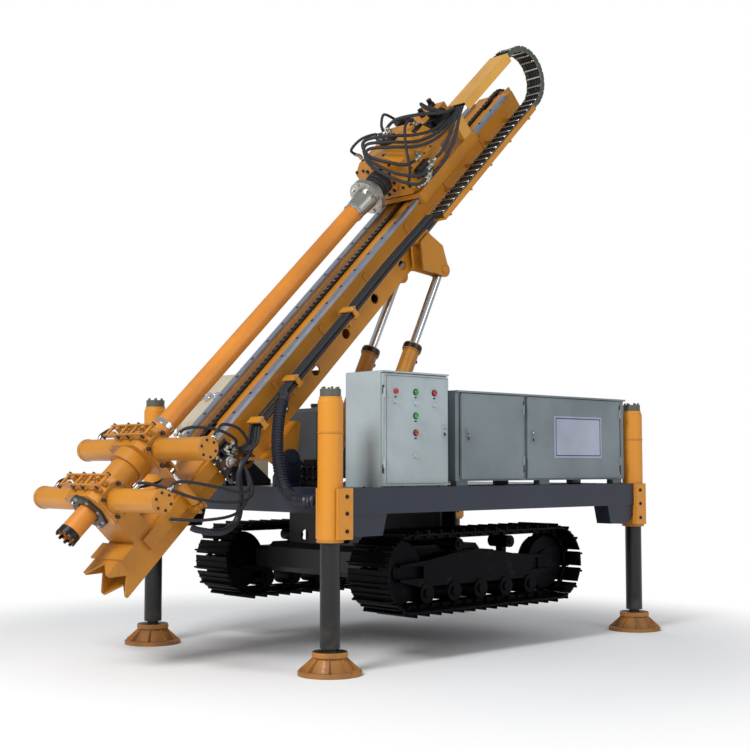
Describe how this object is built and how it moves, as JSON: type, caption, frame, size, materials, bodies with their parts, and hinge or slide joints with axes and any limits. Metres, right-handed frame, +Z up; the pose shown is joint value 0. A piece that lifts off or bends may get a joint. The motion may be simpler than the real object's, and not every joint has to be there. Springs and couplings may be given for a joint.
{
  "type": "anchor drilling rig",
  "caption": "Tracked anchor drilling rig standing on jacks, with a tilting, sliding mast, feed head, clamps, claw foot, energy chain, control box, power cabinet, oil tank and console.",
  "frame": {"origin": "on the ground under the middle of the machine's length and width, as it stands on its jacks", "axes": "+Z up, the drill end faces -Y, the machine's left side is +X"},
  "size_m": [2.472, 4.9531, 4.9068],
  "materials": {
    "yellow_paint": "satin",
    "navy_paint": "satin",
    "black_paint": "satin",
    "grey_paint": "satin",
    "blue_grey_paint": "satin",
    "cream_paint": "satin",
    "black_iron": "matte",
    "steel": "satin",
    "chrome": "polished",
    "hose_rubber": "matte"
  },
  "bodies": {
    "base": {"carbody": "black_paint", "track_frame_left": "black_iron", "track_frame_right": "black_iron", "track_left": "black_iron", "track_right": "black_iron", "deck_frame": "navy_paint", "jack_sleeves": "yellow_paint", "pivot_base": "navy_paint", "control_box": "grey_paint", "power_cabinet": "blue_grey_paint", "power_pack": "black_iron", "operator_console": "cream_paint", "oil_tank": "blue_grey_paint", "valve_bank": "steel", "conduit": "hose_rubber"},
    "jack_front_left": {"jack_leg_front_left": "black_paint"},
    "jack_front_right": {"jack_leg_front_right": "black_paint"},
    "jack_rear_left": {"jack_leg_rear_left": "black_paint"},
    "jack_rear_right": {"jack_leg_rear_right": "black_paint"},
    "cradle_body": {"cradle": "yellow_paint", "slide_rod": "chrome", "mast_hoses": "hose_rubber"},
    "lift_barrel_left": {"lift_barrel_left": "yellow_paint"},
    "lift_barrel_right": {"lift_barrel_right": "yellow_paint"},
    "lift_rod_left": {"lift_rod_left": "chrome"},
    "lift_rod_right": {"lift_rod_right": "chrome"},
    "mast": {"mast_beam": "yellow_paint", "guide_rails": "steel", "feed_chain": "black_iron", "mast_head": "yellow_paint", "claw_foot": "yellow_paint", "front_clamp": "yellow_paint", "slide_barrel": "black_paint", "chain_tray": "yellow_paint", "energy_chain": "steel"},
    "front_jaw_left": {"front_jaw_left": "black_iron"},
    "front_jaw_right": {"front_jaw_right": "black_iron"},
    "rear_clamp": {"rear_clamp": "yellow_paint"},
    "rear_jaw_left": {"rear_jaw_left": "black_iron"},
    "rear_jaw_right": {"rear_jaw_right": "black_iron"},
    "breakout_barrel": {"breakout_barrel": "yellow_paint"},
    "breakout_rod": {"breakout_rod": "chrome"},
    "head": {"carriage": "yellow_paint", "gearbox": "yellow_paint", "head_motors": "black_iron", "chain_arm": "yellow_paint", "head_hoses": "hose_rubber"},
    "spindle": {"spindle_flange": "steel", "drill_string": "yellow_paint"},
    "control_box_door": {"control_box_door": "grey_paint"},
    "cabinet_door_front": {"cabinet_door_front": "blue_grey_paint"},
    "cabinet_door_rear": {"cabinet_door_rear": "blue_grey_paint"}
  },
  "joints": [
    {"name": "jack_front_left", "type": "slide", "parent": "base", "child": "jack_front_left", "axis": [0, 0, 1], "range_m": [-0.25, 0.45]},
    {"name": "jack_front_right", "type": "slide", "parent": "base", "child": "jack_front_right", "axis": [0, 0, 1], "range_m": [-0.25, 0.45]},
    {"name": "jack_rear_left", "type": "slide", "parent": "base", "child": "jack_rear_left", "axis": [0, 0, 1], "range_m": [-0.25, 0.45]},
    {"name": "jack_rear_right", "type": "slide", "parent": "base", "child": "jack_rear_right", "axis": [0, 0, 1], "range_m": [-0.25, 0.45]},
    {"name": "mast_tilt", "type": "hinge", "parent": "base", "child": "cradle_body", "pos_m": [0, -0.80702, 1.4], "axis": [1, 0, 0], "range_deg": [-44.5, 45.5], "deforming": ["conduit"]},
    {"name": "lift_barrel_left", "type": "hinge", "parent": "base", "child": "lift_barrel_left", "pos_m": [0.24, -0.00702, 1.3], "axis": [1, 0, 0], "range_deg": [-50.8, 51.9]},
    {"name": "lift_rod_left", "type": "slide", "parent": "lift_barrel_left", "child": "lift_rod_left", "axis": [0, 0.4354, 0.9002], "range_m": [-0.436, 0.446]},
    {"name": "lift_barrel_right", "type": "hinge", "parent": "base", "child": "lift_barrel_right", "pos_m": [-0.24, -0.00702, 1.3], "axis": [1, 0, 0], "range_deg": [-50.8, 51.9]},
    {"name": "lift_rod_right", "type": "slide", "parent": "lift_barrel_right", "child": "lift_rod_right", "axis": [0, 0.4354, 0.9002], "range_m": [-0.436, 0.446]},
    {"name": "mast_slide", "type": "slide", "parent": "cradle_body", "child": "mast", "axis": [0, 0.7133, 0.7009], "range_m": [-0.6, 0.15], "deforming": ["mast_hoses"]},
    {"name": "feed", "type": "slide", "parent": "mast", "child": "head", "axis": [0, 0.7133, 0.7009], "range_m": [-2.2, 0.5], "deforming": ["energy_chain"]},
    {"name": "spindle_turn", "type": "hinge", "parent": "head", "child": "spindle", "pos_m": [0, 0.18897, 3.46533], "axis": [0, 0.7133, 0.7009], "continuous": true},
    {"name": "front_jaw_left", "type": "slide", "parent": "mast", "child": "front_jaw_left", "axis": [1, 0, 0], "range_m": [-0.004, 0.02]},
    {"name": "front_jaw_right", "type": "slide", "parent": "mast", "child": "front_jaw_right", "axis": [-1, 0, 0], "range_m": [-0.004, 0.02]},
    {"name": "rear_clamp_turn", "type": "hinge", "parent": "mast", "child": "rear_clamp", "pos_m": [0, -1.85164, 1.46003], "axis": [0, 0.7133, 0.7009], "range_deg": [-15, 15]},
    {"name": "rear_jaw_left", "type": "slide", "parent": "rear_clamp", "child": "rear_jaw_left", "axis": [1, 0, 0], "range_m": [-0.004, 0.02]},
    {"name": "rear_jaw_right", "type": "slide", "parent": "rear_clamp", "child": "rear_jaw_right", "axis": [-1, 0, 0], "range_m": [-0.004, 0.02]},
    {"name": "breakout_barrel", "type": "hinge", "parent": "mast", "child": "breakout_barrel", "pos_m": [0.235, -1.56151, 1.07918], "axis": [0, 0.7133, 0.7009], "range_deg": [-6.4, 6.4]},
    {"name": "breakout_rod", "type": "slide", "parent": "breakout_barrel", "child": "breakout_rod", "axis": [0, -0.7009, 0.7133], "range_m": [-0.062, 0.062]},
    {"name": "control_box_door", "type": "hinge", "parent": "base", "child": "control_box_door", "pos_m": [1.0782, -0.64002, 1.6], "axis": [0, 0, -1], "range_deg": [0, 110]},
    {"name": "cabinet_door_front", "type": "hinge", "parent": "base", "child": "cabinet_door_front", "pos_m": [1.0532, 0.84498, 1.6], "axis": [0, 0, 1], "range_deg": [0, 100]},
    {"name": "cabinet_door_rear", "type": "hinge", "parent": "base", "child": "cabinet_door_rear", "pos_m": [1.0532, 2.06098, 1.6], "axis": [0, 0, 1], "range_deg": [0, 110]}
  ],
  "couplings": [
    {"joint": "lift_barrel_left", "follows": "mast_tilt", "ratio": 1.14},
    {"joint": "lift_rod_left", "follows": "mast_tilt", "m_per_rad": 0.56},
    {"joint": "lift_barrel_right", "follows": "mast_tilt", "ratio": 1.14},
    {"joint": "lift_rod_right", "follows": "mast_tilt", "m_per_rad": 0.56},
    {"joint": "front_jaw_right", "follows": "front_jaw_left", "ratio": 1},
    {"joint": "rear_jaw_right", "follows": "rear_jaw_left", "ratio": 1},
    {"joint": "breakout_barrel", "follows": "rear_clamp_turn", "ratio": -0.418},
    {"joint": "breakout_rod", "follows": "rear_clamp_turn", "m_per_rad": -0.235}
  ]
}
